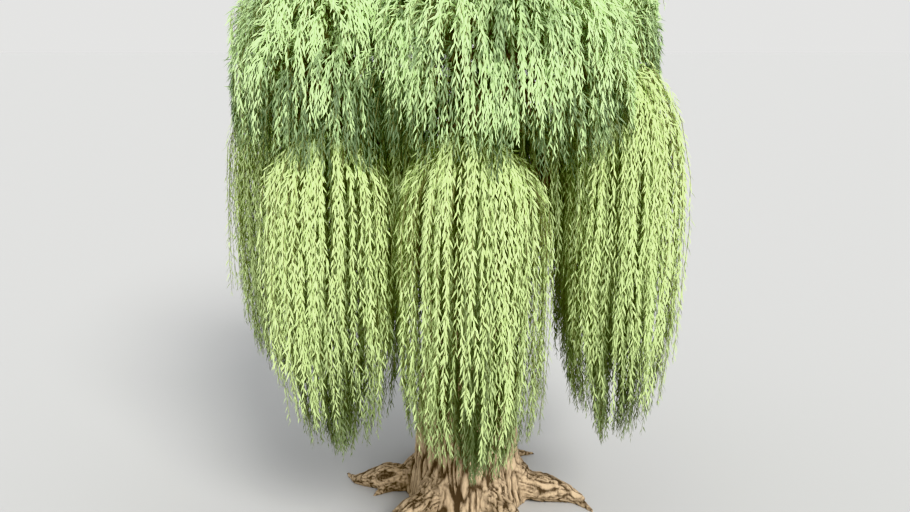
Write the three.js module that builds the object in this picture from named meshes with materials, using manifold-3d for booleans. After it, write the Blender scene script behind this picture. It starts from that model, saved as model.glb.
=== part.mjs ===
// A weeping willow with a stout trunk, six surface roots, seven boughs and a leader, a domed crown of six
// rounded lobes, and seven long curtains of hanging foliage in a ring round the trunk.
// Millimetres, +Z up. The origin is the centre of the trunk's flat cut at ground level, and -Y is the front.
import * as THREE from "three";
import { mergeVertices } from "three/addons/utils/BufferGeometryUtils.js";
import Module from "manifold-3d";

const wasm = await Module();
wasm.setup();

// Driving dimensions.
const TREE_HEIGHT = 9200;
const CROWN_OFFSET = -100; // the crown sits a little to the left of the trunk
const SEAT = 0.4; // clearance where one solid is seated on another

const TRUNK_RADIUS = 765; // over the straight part, just above the root flare
const TRUNK_TOP_RADIUS = 520;
const FORK_HEIGHT = 3500;
const TAPER_START = 900; // the trunk is straight-sided below this height
const FLARE = 1.1; // the trunk's radius at the ground over TRUNK_RADIUS
const FLARE_HEIGHT = 420;

const ROOT_REACH = 1900; // from the trunk's axis to a root's tip
const ROOT_RADIUS = 390; // inside the trunk
const ROOT_TIP_RADIUS = 105;
const ROOT_HEIGHT = 400; // of a root's axis, inside the trunk
const ROOT_TIP_HEIGHT = 90;

const BOUGH_RADIUS = 215;
const BOUGH_TIP_RADIUS = 115;
const BOUGH_REACH = 1900;
const BOUGH_TOP = 5900;
const LEADER_TOP = 6600;

// Fineness of the solids.
const MASS_DETAIL = 3;
const TRUNK_SIDES = 28;
const TRUNK_STEPS = 12;
const LIMB_SIDES = 10;
const LIMB_STEPS = 7;

// Azimuths are in degrees from the front, positive towards the tree's right-hand side in a front view (+X).
const ROOTS = [
  { name: "surface_root_right", azimuth: 81, reach: 0.99, bend: 40 },
  { name: "surface_root_back_right", azimuth: 151, reach: 0.94, bend: -90 },
  { name: "surface_root_back_left", azimuth: 204, reach: 1.02, bend: 80 },
  { name: "surface_root_left", azimuth: 258, reach: 1.0, bend: -30 },
  { name: "surface_root_front_left", azimuth: 316, reach: 1.0, bend: 50 },
  { name: "surface_root_front_right", azimuth: 27, reach: 0.98, bend: 30 },
];

// A mass of foliage has its middle at a distance out from the crown's axis. It is widest at its waist,
// where wide is its radius. shoulder and full set how square it is above and below the waist: 2 is an ellipse.
const LOBES = [
  { side: "front", azimuth: 14, out: 1750, wide: 1680, waist: 6800, top: 8300, foot: 5460, seed: 0.4 },
  { side: "left", azimuth: 311, out: 1880, wide: 1520, waist: 6700, top: 8250, foot: 5350, seed: 1.9 },
  { side: "right", azimuth: 76, out: 1380, wide: 1500, waist: 6950, top: 8500, foot: 5500, seed: 3.3 },
  { side: "back_right", azimuth: 142, out: 1700, wide: 1580, waist: 6750, top: 8350, foot: 5450, seed: 4.7 },
  { side: "back_left", azimuth: 226, out: 1720, wide: 1560, waist: 6800, top: 8400, foot: 5500, seed: 6.2 },
  { side: "top", azimuth: 0, out: 0, wide: 1800, waist: 7850, top: TREE_HEIGHT, foot: 6500, seed: 8.1 },
];
const LOBE_SHAPE = { shoulder: 2, full: 2.5, folds: 0, swell: 0.05 };

const CURTAINS = [
  { side: "front", azimuth: 4, out: 2400, wide: 925, waist: 4400, top: 6300, foot: 1570, full: 2.7, seed: 1.3 },
  { side: "right", azimuth: 62, out: 2420, wide: 930, waist: 4650, top: 6850, foot: 1480, seed: 2.9 },
  { side: "back_right", azimuth: 112, out: 2480, wide: 920, waist: 4700, top: 6700, foot: 1650, seed: 4.1 },
  { side: "back", azimuth: 163, out: 2420, wide: 950, waist: 4600, top: 6400, foot: 1740, seed: 5.6 },
  { side: "back_left", azimuth: 212, out: 2460, wide: 900, waist: 4500, top: 6500, foot: 1680, seed: 7.2 },
  { side: "left", azimuth: 263, out: 2530, wide: 920, waist: 4700, top: 6750, foot: 1850, seed: 8.8 },
  { side: "front_left", azimuth: 318, out: 2400, wide: 925, waist: 4450, top: 6350, foot: 1600, seed: 9.7 },
];
const CURTAIN_SHAPE = { shoulder: 2.3, full: 2.05, folds: 0.02, swell: 0.015 };

const BARK = new THREE.MeshStandardMaterial({ color: 0x967a56, roughness: 0.95, metalness: 0 });
const CROWN_LEAVES = new THREE.MeshStandardMaterial({ color: 0xa5c07c, roughness: 0.8, metalness: 0 });
const CURTAIN_LEAVES = new THREE.MeshStandardMaterial({ color: 0xa7ba76, roughness: 0.8, metalness: 0 });

const radians = THREE.MathUtils.degToRad;

// A point at a compass direction, distance and height round a vertical axis at x = middle.
function around(azimuth, distance, height, middle = 0) {
  const turn = radians(azimuth);
  return new THREE.Vector3(middle + Math.sin(turn) * distance, -Math.cos(turn) * distance, height);
}

// A closed three.js geometry as a solid.
function solidOf(geometry) {
  const bare = geometry.index ? geometry.toNonIndexed() : geometry.clone();
  bare.deleteAttribute("normal");
  bare.deleteAttribute("uv");
  const merged = mergeVertices(bare, 1e-3);
  return new wasm.Manifold(
    new wasm.Mesh({
      numProp: 3,
      vertProperties: merged.attributes.position.array,
      triVerts: new Uint32Array(merged.index.array),
    }),
  );
}

// The named mesh of a solid. A cut can leave crumbs, so only the largest body is kept.
function meshOf(name, solid, material) {
  const bodies = solid.decompose().sort((a, b) => b.volume() - a.volume());
  const made = bodies[0].getMesh();
  const geometry = new THREE.BufferGeometry();
  geometry.setAttribute("position", new THREE.BufferAttribute(new Float32Array(made.vertProperties), 3));
  geometry.setIndex(new THREE.BufferAttribute(new Uint32Array(made.triVerts), 1));
  geometry.computeVertexNormals();
  const mesh = new THREE.Mesh(geometry, material);
  mesh.name = name;
  return mesh;
}

// Moves every vertex of a geometry by place, a function from one Vector3 to another.
function reshape(geometry, place) {
  const at = geometry.getAttribute("position");
  const point = new THREE.Vector3();
  for (let i = 0; i < at.count; i += 1) {
    const moved = place(point.fromBufferAttribute(at, i));
    at.setXYZ(i, moved.x, moved.y, moved.z);
  }
  return geometry;
}

// A tapering limb along a curve from its thick end to its thin one, with flat ends.
function limb(points, thick, thin, grow = 0) {
  const curve = new THREE.CatmullRomCurve3(points);
  const heading = points[points.length - 1].clone().sub(points[0]);
  const across = new THREE.Vector3(0, 0, 1).cross(heading);
  const rod = new THREE.CylinderGeometry(1, 1, 1, LIMB_SIDES, LIMB_STEPS);
  return solidOf(
    reshape(rod, (p) => {
      const t = p.y + 0.5;
      const along = curve.getTangent(t);
      const up = along.clone().cross(across).normalize();
      const side = up.clone().cross(along).normalize();
      const radius = thin + (thick - thin) * (1 - t) ** 1.3 + grow;
      return curve
        .getPoint(t)
        .addScaledVector(up, p.x * radius)
        .addScaledVector(side, p.z * radius);
    }),
  );
}

// The trunk swells into a rib over each root, and narrows to its fork.
function trunk(grow = 0) {
  const rod = new THREE.CylinderGeometry(1, 1, 1, TRUNK_SIDES, TRUNK_STEPS);
  return solidOf(
    reshape(rod, (p) => {
      const share = p.y + 0.5;
      const height = share ** 1.6 * FORK_HEIGHT; // rings lie closer together at the foot
      const low = Math.exp(-height / FLARE_HEIGHT);
      const taper = THREE.MathUtils.smoothstep(height, TAPER_START, FORK_HEIGHT);
      const turn = Math.atan2(p.x, p.z);
      const ribs = ROOTS.reduce((sum, root) => {
        const away = Math.cos(turn - radians(root.azimuth));
        return sum + Math.max(0, away) ** 12;
      }, 0);
      const flutes = 1 + 0.025 * Math.sin(5 * turn + 1.1) + 0.012 * Math.sin(9 * turn + height / 900);
      const straight = THREE.MathUtils.lerp(TRUNK_RADIUS, TRUNK_TOP_RADIUS, taper);
      const radius = straight * flutes * (1 + (FLARE - 1) * low * (0.5 + ribs)) + grow;
      return new THREE.Vector3(Math.sin(turn), -Math.cos(turn), 0)
        .multiplyScalar(Math.hypot(p.x, p.z) * radius)
        .setZ(height + (share > 0.5 ? grow : 0));
    }),
  );
}

// A surface root leaves the trunk's foot, bends a little and runs into the ground at its tip.
function surfaceRoot(root) {
  const reach = ROOT_REACH * root.reach;
  const bend = around(root.azimuth + 90, root.bend, 0);
  return limb(
    [
      around(root.azimuth, TRUNK_RADIUS * 0.3, ROOT_HEIGHT),
      around(root.azimuth, TRUNK_RADIUS * 1.1, ROOT_HEIGHT * 0.75).add(bend),
      around(root.azimuth, reach * 0.78, ROOT_HEIGHT * 0.4).add(bend),
      around(root.azimuth, reach, ROOT_TIP_HEIGHT),
    ],
    ROOT_RADIUS,
    ROOT_TIP_RADIUS,
  );
}

// A bough climbs from inside the fork and arches outwards into the foliage that it carries.
function bough(azimuth, reach, top, grow) {
  const rise = top - FORK_HEIGHT;
  return limb(
    [
      around(azimuth, TRUNK_TOP_RADIUS * 0.5, FORK_HEIGHT - TRUNK_TOP_RADIUS),
      around(azimuth, reach * 0.46, FORK_HEIGHT + rise * 0.42, CROWN_OFFSET / 2),
      around(azimuth, reach * 0.8, FORK_HEIGHT + rise * 0.8, CROWN_OFFSET),
      around(azimuth, reach, top, CROWN_OFFSET),
    ],
    BOUGH_RADIUS,
    BOUGH_TIP_RADIUS,
    grow,
  );
}

// A smooth unevenness from -1 to 1 over a sphere of directions.
function swell(x, y, z, seed) {
  return (
    0.5 * Math.sin(2.7 * x + 1.9 * z + seed) * Math.cos(2.3 * y - 1.1 * x + 2 * seed) +
    0.3 * Math.sin(4.6 * y + 3.8 * z + 3 * seed) +
    0.2 * Math.cos(6.4 * x - 4.9 * z + 5 * seed)
  );
}

// A mass of foliage, uneven all over, with folds running down it. grow makes it that much larger all round.
function mass(shape, grow = 0) {
  const centre = around(shape.azimuth, shape.out, shape.waist, CROWN_OFFSET);
  return solidOf(
    reshape(new THREE.IcosahedronGeometry(1, MASS_DETAIL), (p) => {
      const upper = p.z > 0;
      const power = upper ? shape.shoulder : shape.full;
      const tall = upper ? shape.top - shape.waist : shape.waist - shape.foot;
      const round = (1 - Math.min(1, Math.abs(p.z)) ** power) ** (1 / power);
      const spread = round / Math.max(1e-6, Math.hypot(p.x, p.y));
      const turn = Math.atan2(p.y, p.x);
      const folds = Math.sin(3 * turn + shape.seed) + 0.7 * Math.sin(5 * turn + 2 * shape.seed + p.z);
      const uneven = 1 + shape.folds * folds + shape.swell * swell(p.x, p.y, p.z, shape.seed);
      const radius = (shape.wide * uneven + grow) * spread;
      return new THREE.Vector3(p.x * radius, p.y * radius, p.z * (tall + grow)).add(centre);
    }),
  );
}

const tree = new THREE.Group();
let taken = trunk(SEAT);

// Adds what a solid keeps outside the ones before it. Later solids keep clear of grown, its larger copy.
function add(name, solid, grown, material) {
  tree.add(meshOf(name, solid.subtract(taken), material));
  if (grown) taken = taken.add(grown);
}

tree.add(meshOf("trunk", trunk(), BARK));

for (const lobe of LOBES) {
  const shape = { ...LOBE_SHAPE, ...lobe };
  add(`crown_lobe_${lobe.side}`, mass(shape), mass(shape, SEAT), CROWN_LEAVES);
}

for (const curtain of CURTAINS) {
  const shape = { ...CURTAIN_SHAPE, ...curtain };
  add(`curtain_${curtain.side}`, mass(shape), mass(shape, SEAT), CURTAIN_LEAVES);
}

for (const { side, azimuth } of CURTAINS) {
  const shape = [azimuth, BOUGH_REACH, BOUGH_TOP];
  add(`bough_${side}`, bough(...shape, 0), bough(...shape, SEAT), BARK);
}
add("bough_leader", bough(0, 0, LEADER_TOP, 0), null, BARK);

const ground = new THREE.BoxGeometry(3 * ROOT_REACH, 3 * ROOT_REACH, ROOT_RADIUS * 2);
const underground = solidOf(ground.translate(0, 0, -ROOT_RADIUS));
for (const root of ROOTS) add(root.name, surfaceRoot(root).subtract(underground), null, BARK);

export default tree;
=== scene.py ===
"""A weeping willow in full leaf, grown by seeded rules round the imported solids. Metres, +Z up."""
import itertools
import math

import bpy
import numpy as np
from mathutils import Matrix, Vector
from mathutils.bvhtree import BVHTree


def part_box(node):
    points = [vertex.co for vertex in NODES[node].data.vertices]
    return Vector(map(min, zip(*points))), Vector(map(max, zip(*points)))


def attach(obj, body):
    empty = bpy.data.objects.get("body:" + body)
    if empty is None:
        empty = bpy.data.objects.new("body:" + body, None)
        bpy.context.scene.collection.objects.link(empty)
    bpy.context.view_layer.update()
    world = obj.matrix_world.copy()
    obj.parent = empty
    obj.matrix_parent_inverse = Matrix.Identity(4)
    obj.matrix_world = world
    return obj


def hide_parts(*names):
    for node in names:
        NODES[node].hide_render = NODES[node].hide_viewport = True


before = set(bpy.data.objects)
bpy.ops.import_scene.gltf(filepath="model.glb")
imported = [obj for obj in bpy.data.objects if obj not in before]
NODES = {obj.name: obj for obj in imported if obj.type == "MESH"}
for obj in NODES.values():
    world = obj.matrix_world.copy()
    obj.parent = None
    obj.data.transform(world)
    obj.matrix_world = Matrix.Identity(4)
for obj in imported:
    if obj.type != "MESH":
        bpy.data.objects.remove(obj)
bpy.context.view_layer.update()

TRUNK = "trunk"
ROOTS = sorted(n for n in NODES if n.startswith("surface_root"))
BOUGHS = sorted(n for n in NODES if n.startswith("bough"))
LOBES = sorted(n for n in NODES if n.startswith("crown_lobe"))
TOP_LOBE = "crown_lobe_top"
CURTAINS = sorted(n for n in NODES if n.startswith("curtain"))
DOWN = np.array([0.0, 0.0, -1.0])
GOLDEN_TURN = 2.4  # from one to the next in an even spiral, in radians
SEED = 23

# ---- Bark. The first of a pair is for the thinnest limbs, and the trunk has the sum of both.
SKIN_VOXEL = 0.042
SKIN_SMOOTHING = 9  # passes
SKIN_KEPT = 0.25  # share of the skin's faces kept once the furrows are cut
FURROW_DEPTH = (0.012, 0.036)
PLATE_WIDTH = (0.05, 0.06)
PLATE_LENGTH = 5.5  # as a multiple of its width
LIMB_SLICES = 6  # a limb is measured in this many slices
TRUNK_TAPER = 0.7  # the trunk's radius at its fork, as a share of its foot's
STOUT_RADIUS = 0.7  # a limb this thick has the trunk's bark
BARK_BLEND = 0.035  # where limbs meet, the bark of one runs over into the next within about this distance
FLARE = 0.09  # the trunk's foot is wider than its solid by this share
FLARE_HEIGHT = 0.5
GROUND_CUT = 0.015  # bark lower than this is drawn down to the ground

# ---- Surface roots
ROOT_STEPS = 14
SIDE_ROOTS = ((5, 1), (9, -1))  # the step of a root where each side root leaves it, and to which side
SIDE_ROOT_REACH = (0.45, 0.65)
SIDE_ROOT_SHARE = 0.66  # of the radius of the root that it leaves
ROOT_SWAY = 0.04
ROOT_TIP_RADIUS = 0.035

# ---- Branches and twigs. Radii are at the start and the end.
LIMB_STEPS = 12
BOUGH_END_RADIUS = 0.055
LIMB_END_RADIUS = 0.045
GROUPING_ROUNDS = 8
SHOOTS_PER_TWIG = 6
TWIGS_PER_FORK = 6
TWIG_PULL = 0.18  # how far inside its shoots' starts a twig begins
FORK_PULL = 0.45  # how far inside its twigs a fork is
FORK_RADII = (0.05, 0.026)  # of a branch from a limb to a fork
BRANCHLET_RADII = (0.024, 0.01)  # of a branch from a fork to a twig
SHOOT_RADII = (0.0065, 0.0022)

# ---- Leaves
LEAF_LENGTH = 0.138
LEAF_SIZES = (0.72, 1.15)  # as shares of that length
LEAF_WIDTH = 0.15  # as a share of the length
LEAF_SPREAD = (0.2, 0.7)  # how far a leaf points away from its shoot
LEAF_DROOP = (0.25, 0.65)  # how far it hangs down, on the side of a mass
LEAF_TILT = 0.42  # how far its face strays from the outward direction
LEAD_STEPS = 3  # points of a shoot between its twig and where it shows
TINT_LENGTH = 0.45  # leaves within one such length of a shoot share a tint
SKY_REACH = 4  # a mass further off than this hides no sky

# ---- Curtains. Strands in tassels come over the shoulder of the mass and hang down round it.
CURTAIN_TASSELS = 26
TASSEL_STRANDS = (6, 13)
TASSEL_JITTER = 0.3  # as a share of the angle between tassels
TASSEL_SHADE = 0.11  # how much the leaves' tint varies at random from tassel to tassel
HIGH_END = (0.78, 1)  # the mass's width where a tassel ends high up, as a share of its full width
LOW_END = (0.1, 1)  # the same for the other tassels
STRAND_START = (0.3, 0.92)  # the width where a strand comes over the shoulder
STRAND_TURN = 0.19  # how far a strand strays from its tassel's direction, in radians
STRAND_END = 0.16  # how far its end strays from its tassel's
STRAND_SHADE = 0.06
TASSEL_GATHER = 0.35  # how much of the way a strand closes in on its tassel's middle
INNER_STRANDS = 54  # single strands inside a curtain
INNER_REACH = (0.4, 0.85)  # how far out they hang, as a share of the mass's radius
INNER_END = (0.15, 0.8)
STRAND_STEPS = 12
WAIST = 0.62  # a curtain is widest at this share of its height
CURTAIN_PAINTED_SHADE = 1.1  # painted shade: how much darker a curtain's leaves are tinted towards its foot, and lighter towards its top
# painted shade: it grows no darker further below the curtain's middle than this share of its height
DARKEST_PAINTED_SHADE = -0.34
FILLERS = 12  # strands on each side of a curtain, tinted dark with painted shade
FILLER_TURN = (17, 27)  # degrees from the curtain's own azimuth
FILLER_OUT = (1.75, 2.45)  # distance from the trunk's axis
FILLER_TOP = (5.6, 6.25)  # height above the ground
FILLER_FOOT = (3.9, 5.0)

# ---- Crown. Sprays in tufts come out through the surface of a lobe, arch over and hang down.
TUFT_GAP = 0.34  # least distance between tufts
TUFT_TRIES = 240  # for each square metre of surface
TUFT_SPRAYS = 14
TUFT_RADIUS = 0.17
TUFT_SETTING = (-0.12, 0.05)  # how high above the masses a tuft's sprays lie
TUFT_SHADE = 0.09  # how much the leaves' tint varies at random from tuft to tuft
SPRAY_SHADE = 0.06
BENEATH = -0.35  # a surface whose normal has a lower z than this is the underside
ON_TOP = 0.8  # and one with a higher z than this is the top
CREASE = 0.42  # a tuft is in the crease between two lobes when it is nearer than this to the other lobe
SPRAY_STEPS = 7
SPRAY_LENGTH = (0.75, 1.4)
SPRAY_LENGTH_BENEATH = (0.3, 0.6)
SPRAY_DROOP = (0.08, 0.38)  # how far below the lobe's surface a spray may hang
SPRAY_STRIDE = 0.11  # between the places where a spray bends
SPRAY_BEND = 0.42  # how much it turns down at each
SHORTEST_SPRAY = 4  # a spray with fewer points than this is left out
SPRAY_LOFT = 0.12  # how far a spray may rise above its setting on the upper side
DEEP_SHARE = (0.30, 0.20)  # of the sprays that start inside the lobe, and how much more in a crease
DEEP_START = (0.3, 0.6)  # how far inside
CROWN_PAINTED_SHADE = 1.15  # painted shade: how much darker a lobe's leaves are tinted towards its foot

# ---- Leaf tints in linear colour, dealt out by painted light and shade: from the darkest, for leaves in deep shade, to the brightest, for open, lit leaves
CROWN_TINTS = [
    (0.122, 0.178, 0.082),
    (0.215, 0.305, 0.140),
    (0.318, 0.440, 0.203),
    (0.432, 0.585, 0.273),
    (0.548, 0.725, 0.345),
    (0.665, 0.860, 0.425),
]
CURTAIN_TINTS = [
    (0.122, 0.160, 0.066),
    (0.215, 0.278, 0.115),
    (0.318, 0.402, 0.168),
    (0.430, 0.538, 0.227),
    (0.540, 0.668, 0.288),
    (0.650, 0.790, 0.350),
]

NOISE_GAIN = 1.6  # brings gradient noise to about -1 to 1
rng = np.random.default_rng(SEED)
LATTICE = rng.permutation(256)
SLOPES = rng.normal(size=(256, 3))
SLOPES /= np.linalg.norm(SLOPES, axis=1, keepdims=True)


# ---------------------------------------------------------------- vectors, noise and curves

def unit(v):
    """Vectors along the last axis, scaled to length 1."""
    v = np.asarray(v, float)
    return v / np.maximum(np.linalg.norm(v, axis=-1, keepdims=True), 1e-9)


def across(a, b):
    """The part of vectors a that is square to unit vectors b, at length 1."""
    return unit(a - (a * b).sum(-1, keepdims=True) * b)


def noise3(points):
    """Smooth random values, about -1 to 1, at points (n, 3): gradient noise on a lattice of size 1."""
    cell = np.floor(points).astype(int)
    inside = points - cell
    fade = inside**3 * (inside * (inside * 6 - 15) + 10)
    total = np.zeros(len(points))
    for corner in itertools.product((0, 1), repeat=3):
        x, y, z = ((cell + corner) & 255).T
        slope = SLOPES[LATTICE[(LATTICE[(LATTICE[x] + y) & 255] + z) & 255]]
        share = np.where(np.array(corner) == 1, fade, 1 - fade).prod(1)
        total += share * ((inside - corner) * slope).sum(1)
    return total * NOISE_GAIN


def smooth_step(x):
    """0 below 0, 1 above 1, and a smooth rise between."""
    x = np.clip(x, 0, 1)
    return x * x * (3 - 2 * x)


def sway(along, size, slowest, fastest):
    """A wave of random pace, which grows along a limb or strand (0 to 1) from nothing to about size."""
    return size * np.sin(along * rng.uniform(slowest, fastest) + rng.uniform(0, 6)) * along


def bezier(a, b, c, d, count):
    """Points on a cubic curve. The four control points are arrays of the same shape (..., 3)."""
    t = np.linspace(0, 1, count)[:, None]
    a, b, c, d = (np.asarray(p, float)[..., None, :] for p in (a, b, c, d))
    s = 1 - t
    return s**3 * a + 3 * s**2 * t * b + 3 * s * t**2 * c + t**3 * d


def at_lengths(values, run, at):
    """Rows of values given at run, read at other lengths."""
    return np.stack([np.interp(at, run, column) for column in values.T], 1)


# ---------------------------------------------------------------- solids and meshes

def box_of(name):
    """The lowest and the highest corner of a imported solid, as arrays."""
    low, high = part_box(name)
    return np.array(low), np.array(high)


def points_of(mesh):
    """The points of a mesh as an array (n, 3)."""
    co = np.empty(len(mesh.vertices) * 3)
    mesh.vertices.foreach_get("co", co)
    return co.reshape(-1, 3)


def vertices_of(name):
    """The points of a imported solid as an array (n, 3)."""
    return points_of(NODES[name].data)


def tree_of(names):
    """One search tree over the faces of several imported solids."""
    points, faces = [], []
    for name in names:
        first = len(points)
        points.extend(v.co.copy() for v in NODES[name].data.vertices)
        faces.extend([first + i for i in p.vertices] for p in NODES[name].data.polygons)
    return BVHTree.FromPolygons(points, faces)


def add_mesh(name, points, faces, materials, tint=None, smooth=False):
    """A mesh object. faces is a list of arrays with 3 or 4 corners, and tint gives each face's material."""
    mesh = bpy.data.meshes.new(name)
    mesh.vertices.add(len(points))
    mesh.vertices.foreach_set("co", np.ascontiguousarray(points, np.float32).ravel())
    corners = np.concatenate([f.ravel() for f in faces]).astype(np.int32)
    sizes = np.concatenate([np.full(len(f), f.shape[1]) for f in faces])
    starts = np.concatenate([[0], np.cumsum(sizes)[:-1]]).astype(np.int32)
    mesh.loops.add(len(corners))
    mesh.loops.foreach_set("vertex_index", corners)
    mesh.polygons.add(len(sizes))
    mesh.polygons.foreach_set("loop_start", starts)
    if tint is not None:
        mesh.polygons.foreach_set("material_index", tint.astype(np.int32))
    mesh.polygons.foreach_set("use_smooth", np.full(len(sizes), smooth))
    mesh.update(calc_edges=True)
    for material in materials:
        mesh.materials.append(material)
    obj = bpy.data.objects.new(name, mesh)
    bpy.context.scene.collection.objects.link(obj)
    return obj


def apply_modifiers(obj):
    """Puts the modifiers' result in place of the object's own mesh."""
    evaluated = obj.evaluated_get(bpy.context.evaluated_depsgraph_get())
    result = bpy.data.meshes.new_from_object(evaluated)
    obj.modifiers.clear()
    obj.data = result


def tubes(paths, radii, sides):
    """Open tubes along paths (n, k, 3) with radii (n, k), as one set of points and of four-cornered faces."""
    n, k, _ = paths.shape
    along = unit(np.gradient(paths, axis=1))
    chord = unit(paths[:, -1] - paths[:, 0])
    axis = np.eye(3)[np.argmin(np.abs(chord), axis=1)]
    up = across(np.repeat(axis[:, None], k, axis=1), along)
    side = np.cross(along, up)
    turn = np.linspace(0, 2 * math.pi, sides, endpoint=False)
    ring = up[:, :, None] * np.cos(turn)[:, None] + side[:, :, None] * np.sin(turn)[:, None]
    points = paths[:, :, None] + ring * radii[:, :, None, None]
    index = np.arange(n * k * sides).reshape(n, k, sides)
    a, b = index[:, :-1], index[:, 1:]
    faces = np.stack([a, np.roll(a, -1, 2), np.roll(b, -1, 2), b], -1).reshape(-1, 4)
    return points.reshape(-1, 3), faces


# ---------------------------------------------------------------- materials

def plain(name, colour, roughness):
    """A material with one base colour."""
    material = bpy.data.materials.new(name)
    material.use_nodes = True
    shader = material.node_tree.nodes["Principled BSDF"]
    shader.inputs["Base Color"].default_value = (*colour, 1)
    shader.inputs["Roughness"].default_value = roughness
    return material


def noise_texture(tree, place, scale, detail, roughness):
    """The value of a noise texture at a place, both as sockets."""
    node = tree.nodes.new("ShaderNodeTexNoise")
    node.inputs["Scale"].default_value = scale
    node.inputs["Detail"].default_value = detail
    node.inputs["Roughness"].default_value = roughness
    tree.links.new(place, node.inputs["Vector"])
    return node.outputs["Fac"]


def weighted(tree, value, weight, rest):
    """value * weight + rest as a socket, where rest is a socket or a number."""
    node = tree.nodes.new("ShaderNodeMath")
    node.operation = "MULTIPLY_ADD"
    node.inputs[1].default_value = weight
    tree.links.new(value, node.inputs[0])
    if isinstance(rest, (int, float)):
        node.inputs[2].default_value = rest
    else:
        tree.links.new(rest, node.inputs[2])
    return node.outputs[0]


def bark_material(name, stretch, furrows, plates, from_relief):
    """Bark, coloured from its furrows to its plates by noise and, if from_relief, by the mesh's relief."""
    material = bpy.data.materials.new(name)
    material.use_nodes = True
    tree = material.node_tree
    nodes, links = tree.nodes, tree.links
    shader = nodes["Principled BSDF"]
    shader.inputs["Roughness"].default_value = 0.92
    shader.inputs["Specular IOR Level"].default_value = 0.25

    where = nodes.new("ShaderNodeTexCoord").outputs["Object"]
    grain = nodes.new("ShaderNodeMapping")
    grain.inputs["Scale"].default_value = stretch
    links.new(where, grain.inputs["Vector"])
    cracks = noise_texture(tree, grain.outputs["Vector"], scale=38, detail=6, roughness=0.65)
    patches = noise_texture(tree, where, scale=2.6, detail=3, roughness=0.5)

    height = weighted(tree, patches, 0.5, -0.55 if from_relief else -0.02)
    height = weighted(tree, cracks, 0.7, height)
    if from_relief:
        relief = nodes.new("ShaderNodeAttribute")
        relief.attribute_name = "relief"
        height = weighted(tree, relief.outputs["Fac"], 0.85, height)
    ramp = nodes.new("ShaderNodeValToRGB")
    stops = ramp.color_ramp.elements
    stops[0].position, stops[0].color = 0.24, (*furrows, 1)
    stops[1].position, stops[1].color = 0.90, (*plates, 1)
    between = stops.new(0.52)
    between.color = (*(0.55 * np.array(furrows) + 0.45 * np.array(plates)), 1)
    links.new(height, ramp.inputs["Fac"])
    links.new(ramp.outputs["Color"], shader.inputs["Base Color"])

    bump = nodes.new("ShaderNodeBump")
    bump.inputs["Strength"].default_value = 0.9
    bump.inputs["Distance"].default_value = 0.02
    links.new(cracks, bump.inputs["Height"])
    links.new(bump.outputs["Normal"], shader.inputs["Normal"])
    return material


# ---------------------------------------------------------------- bark

def limb_line(name):
    """The middle line of a root or bough from its thick end, as points, and its radius at each."""
    points = vertices_of(name)
    order = np.hypot(points[:, 0], points[:, 1]) if name in ROOTS else points[:, 2]
    edges = np.quantile(order, np.linspace(0, 1, LIMB_SLICES + 1))
    slices = [points[(order >= low) & (order <= high)] for low, high in zip(edges[:-1], edges[1:])]
    middles = np.array([(part.min(0) + part.max(0)) / 2 for part in slices])
    along = unit(np.gradient(middles, axis=0))
    radii = []
    for part, centre, axis in zip(slices, middles, along):
        spokes = part - centre
        spokes = spokes - (spokes @ axis)[:, None] * axis
        radii.append(np.linalg.norm(spokes, axis=1).mean())
    return middles, np.array(radii)


def trunk_line():
    """The middle line of the trunk from the ground to its fork, and its radius at each end."""
    trunk = vertices_of(TRUNK)
    line = np.array([[0, 0, 0], [0, 0, trunk[:, 2].max()]], float)
    return line, np.hypot(trunk[:, 0], trunk[:, 1]).max() * np.array([1.0, TRUNK_TAPER])


def ridges(at):
    """Bark height from 0 to 1 at points scaled so that a plate is about 1 wide and 1 long."""
    bend = np.stack([noise3(at * 0.5 + shift) for shift in (3.1, 31.7, 77.3)], 1)
    at = at + bend * np.array([0.7, 0.7, 0.2])
    broad = smooth_step(np.abs(noise3(at)) / 0.30)
    narrow = smooth_step(np.abs(noise3(at * np.array([1.8, 1.8, 1.3]) + 11.3)) / 0.26)
    cracks = smooth_step(np.abs(noise3(at * np.array([0.9, 0.9, 3.4]) + 47.9)) / 0.12)
    rough = 0.5 + 0.5 * noise3(at * 3.3)
    return broad * (0.35 + 0.4 * narrow) * (0.85 + 0.15 * cracks) + 0.1 * narrow + 0.15 * rough


def bark_relief(points, lines):
    """Height from 0 in the furrows to 1 on the plates, and how deep the furrows are, at each point."""
    distances, heights, depths = [], [], []
    for middles, radii in lines:
        start, chord = middles[0], middles[-1] - middles[0]
        share = np.clip(((points - start) @ chord) / (chord @ chord), 0, 1)
        radius = np.interp(share, np.linspace(0, 1, len(radii)), radii)
        distances.append(np.linalg.norm(points - start - share[:, None] * chord, axis=1) - radius)
        axis = unit(chord)
        side = across(np.array([axis[1], -axis[2], axis[0]]), axis)
        stout = min(1, radii.mean() / STOUT_RADIUS)
        plate = PLATE_WIDTH[0] + PLATE_WIDTH[1] * stout
        local = [points @ side, points @ np.cross(axis, side), points @ axis / PLATE_LENGTH]
        heights.append(ridges(np.stack(local, 1) / plate + 5 * len(heights)))
        depths.append(FURROW_DEPTH[0] + FURROW_DEPTH[1] * stout)
    weights = np.exp(-(np.array(distances) - np.min(distances, axis=0)) / BARK_BLEND)
    weights /= weights.sum(0)
    return (weights * np.array(heights)).sum(0), (weights * np.array(depths)[:, None]).sum(0)


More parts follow.
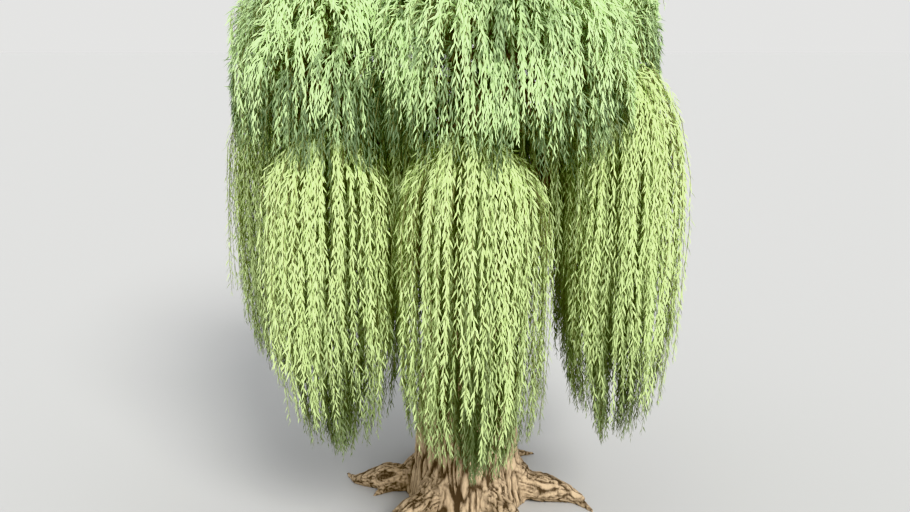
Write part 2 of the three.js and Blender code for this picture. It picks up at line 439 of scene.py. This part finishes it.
def root_curve(name, share):
    """A surface root that sinks into the ground at its tip: its line, radii, heading and left side."""
    middles, widths = limb_line(name)
    along = unit((middles[-1] - middles[0]) * [1, 1, 0])
    side = np.array([-along[1], along[0], 0])
    beyond = np.hypot(*vertices_of(name)[:, :2].T).max() - np.hypot(*middles[-1][:2])
    tip = (middles[-1] + along * beyond) * [1, 1, 0.2]
    line = np.concatenate([middles, [tip]])
    line = at_lengths(line, np.linspace(0, 1, len(line)), share)
    line += side * sway(share, ROOT_SWAY, 5, 8)[:, None]
    line[:, 2] *= 1.1 - 0.7 * share**2
    # It starts inside the trunk.
    line[0] -= along * 0.4
    width = np.interp(share, np.linspace(0, 1, len(widths) + 1), [*widths, widths[-1]])
    return line, width * (1.2 - 0.8 * share**3), along, side


def side_root(start, along, side):
    """A short root that leaves a surface root at start, to one side, and ends on the ground."""
    heading = unit(along + side * rng.uniform(0.6, 1.0))
    end = start + heading * rng.uniform(*SIDE_ROOT_REACH)
    end[2] = 0.0
    bend = start + along * 0.2
    bend[2] = 0.05
    return bezier(start, bend, bend * 0.4 + end * 0.6, end, ROOT_STEPS)


def root_tubes():
    """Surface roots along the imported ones, with their side roots."""
    curves, radii = [], []
    share = np.linspace(0, 1, ROOT_STEPS)
    for name in ROOTS:
        line, width, along, side = root_curve(name, share)
        curves.append(line)
        radii.append(width * rng.uniform(0.93, 1.07, ROOT_STEPS))
        for step, way in SIDE_ROOTS:
            curves.append(side_root(line[step], along, side * way))
            radii.append(np.linspace(width[step] * SIDE_ROOT_SHARE, ROOT_TIP_RADIUS, ROOT_STEPS))
    radii = np.array(radii)
    # The ends are all but closed, so that the skin takes each root for a solid.
    radii[:, [0, -1]] = 0.002
    return tubes(np.array(curves), radii, sides=12)


def limb_skin():
    """Trunk, surface roots and boughs as one closed skin with rounded joins."""
    root_points, root_faces = root_tubes()
    points, faces, first = [root_points], [root_faces], len(root_points)
    for name in [TRUNK, *BOUGHS]:
        mesh = NODES[name].data
        points.append(vertices_of(name))
        faces.append(np.array([[first + i for i in p.vertices] for p in mesh.polygons]))
        first += len(mesh.vertices)
    skin = add_mesh("bark", np.concatenate(points), faces, [])
    remesh = skin.modifiers.new("skin", "REMESH")
    remesh.mode = "VOXEL"
    remesh.voxel_size = SKIN_VOXEL
    round_off = skin.modifiers.new("round", "SMOOTH")
    round_off.factor = 0.5
    round_off.iterations = SKIN_SMOOTHING
    fine = skin.modifiers.new("fine", "SUBSURF")
    fine.levels = fine.render_levels = 1
    apply_modifiers(skin)
    return skin


def cut_furrows(mesh):
    """Moves the skin in and out by the bark's relief, flares the trunk's foot, and keeps the relief."""
    co = points_of(mesh)
    outward = np.empty(len(mesh.vertices) * 3, np.float32)
    mesh.vertex_normals.foreach_get("vector", outward)
    relief, depth = bark_relief(co, [trunk_line()] + [limb_line(n) for n in ROOTS + BOUGHS])
    # Within 20 cm of the ground the furrows get shallower.
    depth *= np.clip(0.35 + co[:, 2] / 0.3, 0, 1)
    co += outward.reshape(-1, 3) * (depth * (relief - 0.6))[:, None]
    low_down = np.clip(1 - co[:, 2] / FLARE_HEIGHT, 0, 1) ** 2
    by_trunk = np.clip(1.3 - np.hypot(co[:, 0], co[:, 1]), 0, 0.5) / 0.5
    co[:, :2] *= 1 + FLARE * (low_down * by_trunk)[:, None]
    mesh.vertices.foreach_set("co", co.ravel())
    layer = mesh.attributes.new("relief", "FLOAT", "POINT")
    layer.data.foreach_set("value", relief.astype(np.float32))


def make_bark(material):
    """The furrowed bark of trunk, surface roots and boughs, cut flat at the ground."""
    bark = limb_skin()
    cut_furrows(bark.data)
    thin = bark.modifiers.new("thin", "DECIMATE")
    thin.ratio = SKIN_KEPT
    apply_modifiers(bark)
    co = points_of(bark.data)
    co[:, 2] = np.where(co[:, 2] < GROUND_CUT, 0.0, co[:, 2])
    bark.data.vertices.foreach_set("co", co.ravel())
    bark.data.polygons.foreach_set("use_smooth", np.full(len(bark.data.polygons), True))
    bark.data.materials.append(material)
    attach(bark, "root")
    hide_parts(TRUNK, *ROOTS, *BOUGHS)


# ---------------------------------------------------------------- painted light on the shoots
# A shoot is (twig, path, outward, light): where it leaves its twig inside the mass, the points where it
# shows, and at each of them the mass's outward direction and how much light it gets, about 0 to 1, painted
# into its leaves' tint.

def sky_directions():
    """Directions spread over the sky, down to a little below level."""
    count = 24
    height = np.linspace(0.97, -0.25, count)
    turn = np.arange(count) * GOLDEN_TURN
    flat = np.sqrt(1 - height**2)
    return [Vector(d) for d in np.stack([flat * np.cos(turn), flat * np.sin(turn), height], 1)]


SKY = sky_directions()


def openness(place, masses):
    """The share of the sky that can be seen from a place past the masses."""
    return sum(masses.ray_cast(Vector(place), d, SKY_REACH)[0] is None for d in SKY) / len(SKY)


def light_along(path, outward, masses):
    """The openness at each point of a path, measured at its ends and middle."""
    middle, last = len(path) // 2, len(path) - 1
    known = [openness(path[i] + outward[i] * 0.12, masses) for i in (0, middle, last)]
    return np.interp(np.arange(len(path)), [0, middle, last], known)


# ---------------------------------------------------------------- strands of a curtain

class Curtain:
    """A hanging mass, measured round its own middle."""

    def __init__(self, name):
        self.low, self.high = box_of(name)
        self.middle = (self.low + self.high) / 2
        self.tree = tree_of([name])
        self.span = (self.high[:2] - self.low[:2]).max()
        self.waist = self.low[2] + (self.high[2] - self.low[2]) * WAIST
        self.below_waist = np.linspace(self.low[2] + 0.02, self.waist, 18)
        self.above_waist = np.linspace(self.waist, self.high[2] - 0.03, 12)

    def reach(self, turn, heights):
        """The mass's radius in one direction, at each height."""
        out = Vector((math.cos(turn), math.sin(turn), 0))
        found = []
        for z in heights:
            start = Vector((self.middle[0], self.middle[1], z)) + out * self.span
            distance = self.tree.ray_cast(start, -out)[3]
            found.append(self.span - distance if distance else 0.02)
        return np.array(found)

    def fade(self, z):
        """Painted light and shade: how much lighter the mass's leaves are tinted at a height than at half its
        height. Darker is below 0.
        """
        share = (z - self.low[2]) / (self.high[2] - self.low[2])
        return CURTAIN_PAINTED_SHADE * np.maximum(share - 0.5, DARKEST_PAINTED_SHADE)


def strand(curtain, masses, turn, share, fraction, gather, shade):
    """A strand at a share of the mass's radius, which ends where the mass is a fraction of its full width.

    It starts in the direction turn and closes in on the direction gather. shade is added to its light.
    """
    lower = np.maximum.accumulate(curtain.reach(turn, curtain.below_waist))
    upper = np.minimum.accumulate(curtain.reach(turn, curtain.above_waist))
    full = lower[-1]
    end = np.interp(0.87 * fraction * full, lower, curtain.below_waist) + rng.normal(0, 0.09)
    start = np.interp(-rng.uniform(*STRAND_START) * full, -upper, curtain.above_waist)
    widest = min(share, fraction + 0.18)
    z = start + (end - start) * np.linspace(0, 1, STRAND_STEPS)
    fall = np.clip((curtain.waist - z) / (curtain.waist - end), 0, 1)
    shoulder = widest * np.interp(z, curtain.above_waist, upper)
    hanging = full * (widest - (widest - fraction * share) * fall**2)
    radius = np.where(z > curtain.waist, shoulder, hanging)
    down = (start - z) / (start - end)
    angle = turn + (gather - turn) * TASSEL_GATHER * down
    angle = angle + sway(down, 0.09, 3, 9)
    radius = radius * (1 + sway(down, 0.03, 3, 8))

    outward = np.stack([np.cos(angle), np.sin(angle), 0.15 * np.ones_like(angle)], 1)
    path = np.stack([*(curtain.middle[:2, None] + outward[:, :2].T * radius), z], 1)
    home = unit(-path[0, :2])
    twig = path[0] + np.array([*(home * rng.uniform(0.4, 0.7)), rng.uniform(0.0, 0.25)])
    half_way = STRAND_STEPS // 2
    # Painted shade: the strand's leaves are tinted by the sky seen halfway down it, darker for a strand
    # further in and towards the foot.
    light = openness(path[half_way] + outward[half_way] * 0.2, masses) * share
    return twig, path, unit(outward), light + shade + curtain.fade(z)


def curtain_shoots(name, masses):
    """Strands of one curtain: tassels that end in a ragged point, single strands inside, and its fillers."""
    curtain = Curtain(name)
    shoots = []
    for tassel in range(CURTAIN_TASSELS):
        turn = 2 * math.pi * (tassel + rng.uniform(-TASSEL_JITTER, TASSEL_JITTER)) / CURTAIN_TASSELS
        # Every other tassel ends high, where the mass is wide. The rest end anywhere down to its point.
        fraction = rng.uniform(*HIGH_END) if tassel % 2 else rng.uniform(*LOW_END) ** 0.9
        share = 0.82 + 0.23 * math.sqrt(rng.random())
        shade = rng.normal(0, TASSEL_SHADE)
        for _ in range(rng.integers(*TASSEL_STRANDS)):
            own_fraction = np.clip(fraction + rng.normal(0, STRAND_END), 0.05, 0.99)
            own_turn = turn + rng.normal(0, STRAND_TURN)
            own_share = share * rng.uniform(0.88, 1.03)
            own_shade = shade + rng.normal(0, STRAND_SHADE)
            shoots.append(strand(curtain, masses, own_turn, own_share, own_fraction, turn, own_shade))
    for _ in range(INNER_STRANDS):
        turn = rng.uniform(0, 2 * math.pi)
        share, fraction = rng.uniform(*INNER_REACH), rng.uniform(*INNER_END)
        shoots.append(strand(curtain, masses, turn, share, fraction, turn, 0))
    return shoots + filler_shoots(curtain.middle)


def filler_shoots(middle):
    """Shorter strands tinted dark with painted shade, which hang from the dome beside a curtain and towards
    its neighbours.
    """
    azimuth = math.atan2(middle[1], middle[0])
    shoots = []
    for way in [-1, 1] * FILLERS:
        angle = azimuth + way * math.radians(rng.uniform(*FILLER_TURN))
        out = rng.uniform(*FILLER_OUT)
        top, foot = rng.uniform(*FILLER_TOP), rng.uniform(*FILLER_FOOT)
        down = np.linspace(0, 1, STRAND_STEPS)
        turn = angle + sway(down, 0.02, 3, 8)
        outward = np.stack([np.cos(turn), np.sin(turn), 0 * down], 1)
        path = outward * out + np.stack([0 * down, 0 * down, top + (foot - top) * down], 1)
        twig = path[0] * [0.85, 0.85, 1] + [0, 0, 0.15]
        # Painted shade: a low light level, the same all along, so that these strands take dark tints.
        shoots.append((twig, path, outward, np.full(len(down), rng.uniform(-0.1, 0.15))))
    return shoots


# ---------------------------------------------------------------- sprays of a crown lobe

class Lobe:
    """A mass of the crown, measured round its own middle."""

    def __init__(self, name):
        self.low, high = box_of(name)
        self.heart = (self.low + high) / 2
        self.half = (high - self.low) / 2
        self.tree = tree_of([name])

    def fade(self, z):
        """Painted shade: how much darker the lobe's leaves are tinted at a height than at its heart and
        above.
        """
        return CROWN_PAINTED_SHADE * np.clip((self.heart[2] - z) / (self.heart[2] - self.low[2]), 0, 1)


def tuft_gap(normal, crease):
    """The least distance between tufts: more on the underside, less on the top and in creases."""
    share = 1
    if normal.z < BENEATH:
        share = 1.25
    elif normal.z > ON_TOP:
        share = 0.75
    return TUFT_GAP * share * (1 - 0.4 * crease)


def surface_samples(name, masses):
    """Places over the outside of a lobe, each with its normal and how deep it is in a crease, 0 to 1."""
    neighbours = tree_of([other for other in LOBES if other not in (name, TOP_LOBE)])
    mesh = NODES[name].data
    mesh.calc_loop_triangles()
    triangles = mesh.loop_triangles
    area = np.array([t.area for t in triangles])
    tries = rng.choice(len(triangles), int(area.sum() * TUFT_TRIES), p=area / area.sum())
    places = []
    for triangle in (triangles[i] for i in tries):
        a, b = sorted(rng.random(2))
        corners = [mesh.vertices[i].co for i in triangle.vertices]
        place = corners[0] * a + corners[1] * (b - a) + corners[2] * (1 - b)
        normal = triangle.normal
        crease = max(0, 1 - neighbours.find_nearest(place)[3] / CREASE)
        gap = tuft_gap(normal, crease)
        if any((place - other[0]).length < gap for other in places):
            continue
        # A face against a neighbouring mass is not on the outside.
        if masses.ray_cast(place + normal * 1e-4, normal, 0.05)[0] is None:
            places.append((place, normal, crease))
    return places


def hang(start, heading, length, clearance, lobe, masses):
    """The path of a spray that sets out along heading, bends down and stays by the surface, or None."""
    heart, half = Vector(lobe.heart), lobe.half
    droop = rng.uniform(*SPRAY_DROOP)
    widest = 1 + (clearance - 0.03) / half[0]
    at, path = start, [start]
    for _ in range(int(length / SPRAY_STRIDE)):
        heading = (heading + Vector((0, 0, -SPRAY_BEND))).normalized()
        at = at + heading * SPRAY_STRIDE
        near, facing, _, _ = masses.find_nearest(at)
        height = (at - near).dot(facing)
        if height < clearance:
            at = at + facing * (clearance - height) * 0.8
            heading = (heading - facing * min(0, heading.dot(facing))).normalized()
        elif height > clearance + SPRAY_LOFT and at.z > heart.z:
            at = at - facing * (height - clearance - SPRAY_LOFT) * 0.6
        spread = math.hypot((at.x - heart.x) / half[0], (at.y - heart.y) / half[1])
        if spread > widest:
            at.x = heart.x + (at.x - heart.x) * widest / spread
            at.y = heart.y + (at.y - heart.y) * widest / spread
        if at.z < heart.z and lobe.tree.find_nearest(at)[3] > droop:
            break
        path.append(at)
    if len(path) < SHORTEST_SPRAY:
        return None
    path = np.array([list(p) for p in path])
    return at_lengths(path, np.linspace(0, 1, len(path)), np.linspace(0, 1, SPRAY_STEPS))


def tuft(middle, up, crease, lobe, masses):
    """The sprays of one tuft. up is the surface's normal at its middle."""
    beneath = up.z < BENEATH
    lengths = SPRAY_LENGTH_BENEATH if beneath else SPRAY_LENGTH
    # On the lobe's top, sprays are shorter, spread further and lean more.
    shorter = 1 - 0.5 * max(0, up.z - 0.4)
    parting = 1 + 1.6 * max(0, up.z)
    clearance = rng.uniform(*TUFT_SETTING) - 0.12 * crease
    shade = rng.normal(0, TUFT_SHADE)
    radial = Vector((middle.x - lobe.heart[0], middle.y - lobe.heart[1], 0)).normalized()
    lean = Vector(rng.normal(0, 0.18 + 0.6 * max(0, up.z - 0.5), 3))
    light, shoots = None, []
    for _ in range(TUFT_SPRAYS // 2 if beneath else TUFT_SPRAYS):
        deep = rng.random() < DEEP_SHARE[0] + DEEP_SHARE[1] * crease
        depth = rng.uniform(*DEEP_START) if deep else 0
        aside = Vector(rng.normal(0, 1, 3))
        aside = (aside - up * aside.dot(up)).normalized() * TUFT_RADIUS * math.sqrt(rng.random())
        twig = middle + aside - up * (depth * 0.6 + rng.uniform(0.35, 0.5)) + Vector((0, 0, -0.1))
        below = depth if deep else rng.uniform(0.1, 0.2) - 0.08 * max(0, up.z)
        own_way = Vector(rng.normal(0, 0.15, 3))
        heading = (up * 0.6 + radial * 0.15 + lean + aside * parting + own_way).normalized()
        length = rng.uniform(*lengths) * shorter
        path = hang(middle + aside - up * below, heading, length, clearance - depth * 0.6, lobe, masses)
        if path is None:
            continue
        spread = unit((path - lobe.heart) * [1, 1, 0.6])
        outward = unit(spread + np.array(up) * np.linspace(1, 0.2, SPRAY_STEPS)[:, None])
        if light is None:
            light = light_along(path, outward, masses)
        # Painted shade: sprays that start deep inside or in a crease, and sprays low on the lobe, get darker
        # tints.
        own_light = light * (0.6 if deep else 1 - 0.6 * crease)
        own_light = own_light - lobe.fade(path[:, 2]) + shade + rng.normal(0, SPRAY_SHADE)
        shoots.append((np.array(twig), path, outward, own_light))
    return shoots


def crown_shoots(name, masses):
    """The sprays of all tufts of one lobe."""
    lobe = Lobe(name)
    shoots = []
    for middle, up, crease in surface_samples(name, masses):
        shoots += tuft(middle, up, crease, lobe, masses)
    return shoots


# ---------------------------------------------------------------- branching

def clusters(points, size):
    """Splits points into groups of about size near one another (Lloyd's rule). Returns each point's group."""
    count = max(1, round(len(points) / size))
    centres = points[rng.choice(len(points), count, replace=False)]
    for _ in range(GROUPING_ROUNDS):
        owner = np.linalg.norm(points[:, None] - centres[None], axis=2).argmin(1)
        for g in np.unique(owner):
            centres[g] = points[owner == g].mean(0)
    _, owner = np.unique(owner, return_inverse=True)
    return owner


def grow_inwards(points, heart, size, pull):
    """Each point's group, and each group's parent: its middle moved towards the heart of the mass."""
    owner = clusters(points, size)
    parents = np.array([points[owner == g].mean(0) for g in range(owner.max() + 1)])
    inward = unit(heart - parents)
    room = np.linalg.norm(heart - parents, axis=1, keepdims=True)
    return owner, parents + inward * np.minimum(pull, room * 0.6) + np.array([0, 0, -0.08])


def bough_target(bough):
    """Where a bough leads inside the foliage: above the curtain that it carries, or into the top lobe."""
    curtain = "curtain_" + bough.split("_", 1)[1]
    if curtain not in NODES:
        low, high = box_of(TOP_LOBE)
        return (low + high) / 2
    low, high = box_of(curtain)
    hub = (low + high) / 2 * 0.86
    hub[2] = high[2] + 0.35
    return hub


def limbs_inside():
    """Limbs inside the foliage, as curves and radii: one that carries on each bough, and two to each lobe."""
    curves, radii, ends = [], [], []
    for name in BOUGHS:
        middles, widths = limb_line(name)
        end, heading, width = middles[-1], unit(middles[-1] - middles[-3]), widths[-1]
        ends.append((end, heading, width))
        hub = bough_target(name)
        span = np.linalg.norm(hub - end)
        lead, rise = end + heading * span * 0.4, np.array([0, 0, span * 0.2])
        curves.append(bezier(end - heading * 0.3, lead, hub - rise, hub, LIMB_STEPS))
        radii.append(np.linspace(width * 0.96, BOUGH_END_RADIUS, LIMB_STEPS))
    rise = np.array([0, 0, 0.3])
    for lobe in LOBES:
        low, high = box_of(lobe)
        heart = (low + high) / 2
        nearest = sorted(ends, key=lambda e: np.linalg.norm(e[0] - heart))[:2]
        for end, heading, width in nearest:
            aim = heart + rng.normal(0, 0.25, 3) + rise
            lead = end + heading * np.linalg.norm(aim - end) * 0.5
            curves.append(bezier(end - heading * 0.2, lead, aim - rise, aim, LIMB_STEPS))
            radii.append(np.linspace(width * 0.7, LIMB_END_RADIUS, LIMB_STEPS))
    return np.array(curves), np.array(radii)


def branch(starts, headings, ends, thickness, count):
    """Curves that leave their parent along headings, arch up a little and reach ends, and their radii."""
    span = np.linalg.norm(ends - starts, axis=1, keepdims=True)
    lift = np.array([0, 0, 1.0]) * span * 0.12
    leave, arrive = starts + headings * span * 0.35, (starts + 2 * ends) / 3 + lift
    radii = np.linspace(*thickness, count)[None] * rng.uniform(0.8, 1.2, (len(starts), 1))
    return bezier(starts, leave, arrive, ends, count), radii


def branch_mass(shoots, heart, limb_points, limb_headings):
    """The branches of one mass, from limbs to twigs: where each shoot starts, and two sizes of branch."""
    tips = np.array([shoot[0] for shoot in shoots])
    twig_of, twigs = grow_inwards(tips, heart, SHOOTS_PER_TWIG, TWIG_PULL)
    fork_of, forks = grow_inwards(twigs, heart, TWIGS_PER_FORK, FORK_PULL)
    gap = np.linalg.norm(forks[:, None] - limb_points[None], axis=2)
    # A branch rises from its limb sooner than it drops from it.
    gap += 1.5 * np.maximum(0, limb_points[None, :, 2] - forks[:, None, 2])
    chosen = gap.argmin(1)
    main, main_radii = branch(limb_points[chosen], limb_headings[chosen], forks, FORK_RADII, count=9)
    leaving = unit(main[:, -1] - main[:, -2])
    small, small_radii = branch(forks[fork_of], leaving[fork_of], twigs, BRANCHLET_RADII, count=5)
    return twigs[twig_of], (main, main_radii), (small, small_radii)


# ---------------------------------------------------------------- leaves

LEAF_OUTLINE = np.array([[0, 0], [0.42, -0.5], [0.36, 0.5], [1, 0]])  # along the leaf, and across it
LEAF_FACES = np.array([[0, 1, 3], [0, 3, 2]])
LEAF_FOLD = np.array([0, 0.22, 0.22, 0])  # how far the edges rise beside the midrib, as a share of the width


def leaves_along(path, outward, light, first, spacing):
    """Bases, directions, normals, lengths and light of one shoot's leaves, in a spiral, hanging down."""
    run = np.concatenate([[0], np.cumsum(np.linalg.norm(np.diff(path, axis=0), axis=1))])
    count = max(3, int((run[-1] - first) / spacing))
    at = first + (np.arange(count) + rng.uniform(0.1, 0.9, count)) * (run[-1] - first) / count
    base = at_lengths(path, run, at)
    along = unit(at_lengths(np.gradient(path, axis=0), run, at))
    facing = unit(at_lengths(outward, run, at))
    turn = rng.uniform(0, 6.28) + np.arange(count) * GOLDEN_TURN + rng.normal(0, 0.4, count)
    up = across(np.tile([[0.31, 0.95, 0.05]], (count, 1)), along)
    spoke = up * np.cos(turn)[:, None] + np.cross(along, up) * np.sin(turn)[:, None]
    level = np.clip(facing[:, 2:], 0, 1)
    droop = rng.uniform(*LEAF_DROOP, (count, 1)) * (1 - 0.8 * level)
    spoke = spoke * rng.uniform(*LEAF_SPREAD, (count, 1))
    heading = unit(along * 0.8 + spoke + DOWN * droop + facing * 0.12)
    normal = across(facing + rng.normal(0, LEAF_TILT, (count, 3)) + np.array([0, 0, 0.2]), heading)
    shorter_at_tip = 1 - 0.45 * np.clip((at - run[-1] + 0.25) / 0.25, 0, 1)
    length = LEAF_LENGTH * rng.uniform(*LEAF_SIZES, count) * shorter_at_tip
    lit = np.interp(np.floor(at / TINT_LENGTH) * TINT_LENGTH, run, light)
    return base, heading, normal, length, lit


def leaf_mesh(base, heading, normal, length):
    """Narrow pointed leaves folded along the midrib, as one set of points and triangles."""
    side = np.cross(heading, normal)
    along = LEAF_OUTLINE[:, 0][None, :, None]
    wide = LEAF_OUTLINE[:, 1][None, :, None] * LEAF_WIDTH
    fold = LEAF_FOLD[None, :, None] * LEAF_WIDTH * rng.uniform(0, 1.4, (len(base), 1, 1))
    shape = heading[:, None] * along + side[:, None] * wide + normal[:, None] * fold
    points = base[:, None] + shape * length[:, None, None]
    faces = np.arange(len(base))[:, None, None] * len(LEAF_OUTLINE) + LEAF_FACES[None]
    return points.reshape(-1, 3), faces.reshape(-1, 3)


def brightness(shoots, kind):
    """Painted light and shade: a tint level, 0 to 1, along each shoot: more where it gets more light, with
    random patches that drift over the tree.
    """
    places = np.array([path[len(path) // 3] for _, path, _, _ in shoots])
    light = np.array([shoot[3] for shoot in shoots])
    patch = 0.10 * noise3(places * 1.7) + 0.08 * noise3(places * 4.3 + 7)
    patch = patch + rng.normal(0, 0.05, len(shoots))
    return kind["base"] + kind["gain"] * light + patch[:, None]


def lead_in(start, path):
    """The points of a shoot from its twig to just before it shows."""
    rise, bend = start * 0.6 + path[0] * 0.4 + [0, 0, 0.06], path[0] + [0, 0, 0.07]
    return bezier(start, rise, bend, path[0], LEAD_STEPS + 1)[:LEAD_STEPS]


def leafy_piece(name, shoots, starts, kind):
    """All leaves of one mass as one mesh that stands for the mass's solid. Returns the shoots' full paths."""
    found, paths = [], []
    for start, (_, path, outward, _), level in zip(starts, shoots, brightness(shoots, kind)):
        whole = np.concatenate([lead_in(start, path), path])
        paths.append(whole)
        hidden = np.linalg.norm(np.diff(whole[:LEAD_STEPS + 1], axis=0), axis=1).sum()
        first = max(0, hidden - kind["cover"])
        facing = np.concatenate([outward[:1]] * LEAD_STEPS + [outward])
        level = np.concatenate([level[:1]] * LEAD_STEPS + [level])
        found.append(leaves_along(whole, facing, level, first, kind["spacing"]))
    *shapes, level = (np.concatenate(column) for column in zip(*found))
    points, faces = leaf_mesh(*shapes)
    count = len(kind["materials"])
    # The tint is picked by the leaf's painted light level.
    tint = np.clip(level * count, 0, count - 1).astype(int).repeat(len(LEAF_FACES))
    piece = add_mesh("leaves_" + name, points, [faces], kind["materials"], tint)
    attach(piece, "root")
    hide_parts(name)
    return np.array(paths)


def wood_piece(name, parts, material):
    """Tubes of several sizes joined into one mesh. parts holds (curves, radii, sides)."""
    points, faces, first = [], [], 0
    for curves, radii, sides in parts:
        part_points, part_faces = tubes(curves, radii, sides)
        points.append(part_points)
        faces.append(part_faces + first)
        first += len(part_points)
    piece = add_mesh(name, np.concatenate(points), faces, [material], smooth=True)
    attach(piece, "root")


def shoot_piece(name, paths, rings, material):
    """The bare wood of many shoots as one mesh, with this many rings along each."""
    kept = np.linspace(0, paths.shape[1] - 1, rings).round().astype(int)
    radii = np.linspace(*SHOOT_RADII, rings)[None] * np.ones((len(paths), 1))
    wood_piece(name, [(paths[:, kept], radii, 3)], material)


# ---------------------------------------------------------------- the two kinds of foliage
# heart_rise is how far above its mass the point lies towards which a mass's branches lead, or None for
# its middle. Leaves start cover before a shoot shows, spacing apart. A leaf's tint level, painted light
# and shade, is base + gain * light. rings is for the shoots' wood.

def crown_kind():
    """How the lobes of the crown grow."""
    return {
        "names": LOBES,
        "grow": crown_shoots,
        "heart_rise": None,
        "cover": 0.24,
        "spacing": 0.042,
        "base": 0.47,
        "gain": 1.35,
        "slot": "crown_leaves",
        "materials": [plain(f"crown_leaf_{i}", c, 0.6) for i, c in enumerate(CROWN_TINTS)],
        "wood": "twigs_crown",
        "rings": 4,
    }


def curtain_kind():
    """How the curtains grow."""
    return {
        "names": CURTAINS,
        "grow": curtain_shoots,
        "heart_rise": 0.2,
        "cover": 0.4,
        "spacing": 0.0432,
        "base": 0.33,
        "gain": 0.75,
        "slot": "curtain_leaves",
        "materials": [plain(f"curtain_leaf_{i}", c, 0.6) for i, c in enumerate(CURTAIN_TINTS)],
        "wood": "twigs_curtains",
        "rings": 7,
    }


def heart_of(name, rise):
    """The point towards which the branches of a mass lead."""
    low, high = box_of(name)
    heart = (low + high) / 2
    if rise is not None:
        heart[2] = high[2] + rise
    return heart


def make_foliage():
    """Grows every mass: its sprays or strands, the branches that carry them, and their leaves."""
    branch_bark = bark_material("branch_bark", (1, 1, 1), (0.075, 0.055, 0.030), (0.29, 0.22, 0.13), False)
    shoot_bark = plain("twig_bark", (0.17, 0.175, 0.065), 0.7)
    kinds = [crown_kind(), curtain_kind()]
    masses = tree_of(LOBES + CURTAINS)
    limbs, limb_radii = limbs_inside()
    limb_points = limbs[:, 2:].reshape(-1, 3)
    limb_headings = unit(np.gradient(limbs, axis=1))[:, 2:].reshape(-1, 3)
    branches = [(limbs, limb_radii, 10)]
    for kind in kinds:
        paths = []
        for name in kind["names"]:
            heart = heart_of(name, kind["heart_rise"])
            shoots = kind["grow"](name, masses)
            starts, main, small = branch_mass(shoots, heart, limb_points, limb_headings)
            branches += [(*main, 6), (*small, 3)]
            paths.append(leafy_piece(name, shoots, starts, kind))
        shoot_piece(kind["wood"], np.concatenate(paths), kind["rings"], shoot_bark)
    wood_piece("branches", branches, branch_bark)


# ---------------------------------------------------------------- studio

def make_floor():
    """A plain pale floor."""
    material = plain("studio_floor", (0.44, 0.44, 0.435), 0.9)
    span = 400
    corners = np.array([[-span, -span, 0], [span, -span, 0], [span, span, 0], [-span, span, 0]])
    floor = add_mesh("floor", corners, [np.array([[0, 1, 2, 3]])], [material])


def make_world():
    """Even sky light all round, and a pale backdrop for the camera."""
    world = bpy.data.worlds.new("studio")
    bpy.context.scene.world = world
    world.use_nodes = True
    nodes, links = world.node_tree.nodes, world.node_tree.links
    sky = nodes["Background"]
    sky.inputs["Color"].default_value = (0.97, 0.985, 1.0, 1)
    sky.inputs["Strength"].default_value = 1.0
    backdrop = nodes.new("ShaderNodeBackground")
    backdrop.inputs["Color"].default_value = (0.83, 0.83, 0.82, 1)
    seen = nodes.new("ShaderNodeLightPath")
    either = nodes.new("ShaderNodeMixShader")
    links.new(seen.outputs["Is Camera Ray"], either.inputs[0])
    links.new(sky.outputs[0], either.inputs[1])
    links.new(backdrop.outputs[0], either.inputs[2])
    links.new(either.outputs[0], nodes["World Output"].inputs["Surface"])


def add_sun(name, towards, strength, width, colour=(1, 1, 1)):
    """A soft sun in the direction towards, this many degrees wide."""
    data = bpy.data.lights.new(name, "SUN")
    data.energy = strength
    data.angle = math.radians(width)
    data.color = colour
    sun = bpy.data.objects.new(name, data)
    sun.rotation_euler = Vector(towards).to_track_quat("Z", "Y").to_euler()
    bpy.context.scene.collection.objects.link(sun)


def make_camera(place, pitch, lens):
    """The camera, which faces +Y. A pitch of 90 degrees is level, and less looks down."""
    data = bpy.data.cameras.new("camera")
    data.sensor_width = 36
    data.lens = lens
    data.clip_end = 900
    camera = bpy.data.objects.new("camera", data)
    camera.location = place
    camera.rotation_euler = (math.radians(pitch), 0, 0)
    bpy.context.scene.collection.objects.link(camera)
    bpy.context.scene.camera = camera


make_bark(bark_material("willow_bark", (1, 1, 0.25), (0.065, 0.045, 0.028), (0.58, 0.44, 0.285), True))
make_foliage()
make_floor()
make_world()
add_sun("key", towards=(0.34, -0.75, 0.62), strength=3.8, width=24, colour=(1.0, 0.985, 0.95))
add_sun("fill", towards=(0.00, -1.00, 0.28), strength=0.7, width=60)
make_camera(place=(-0.17, -13.85, 7.07), pitch=77, lens=37.8)
bpy.context.scene.view_settings.view_transform = "Khronos PBR Neutral"
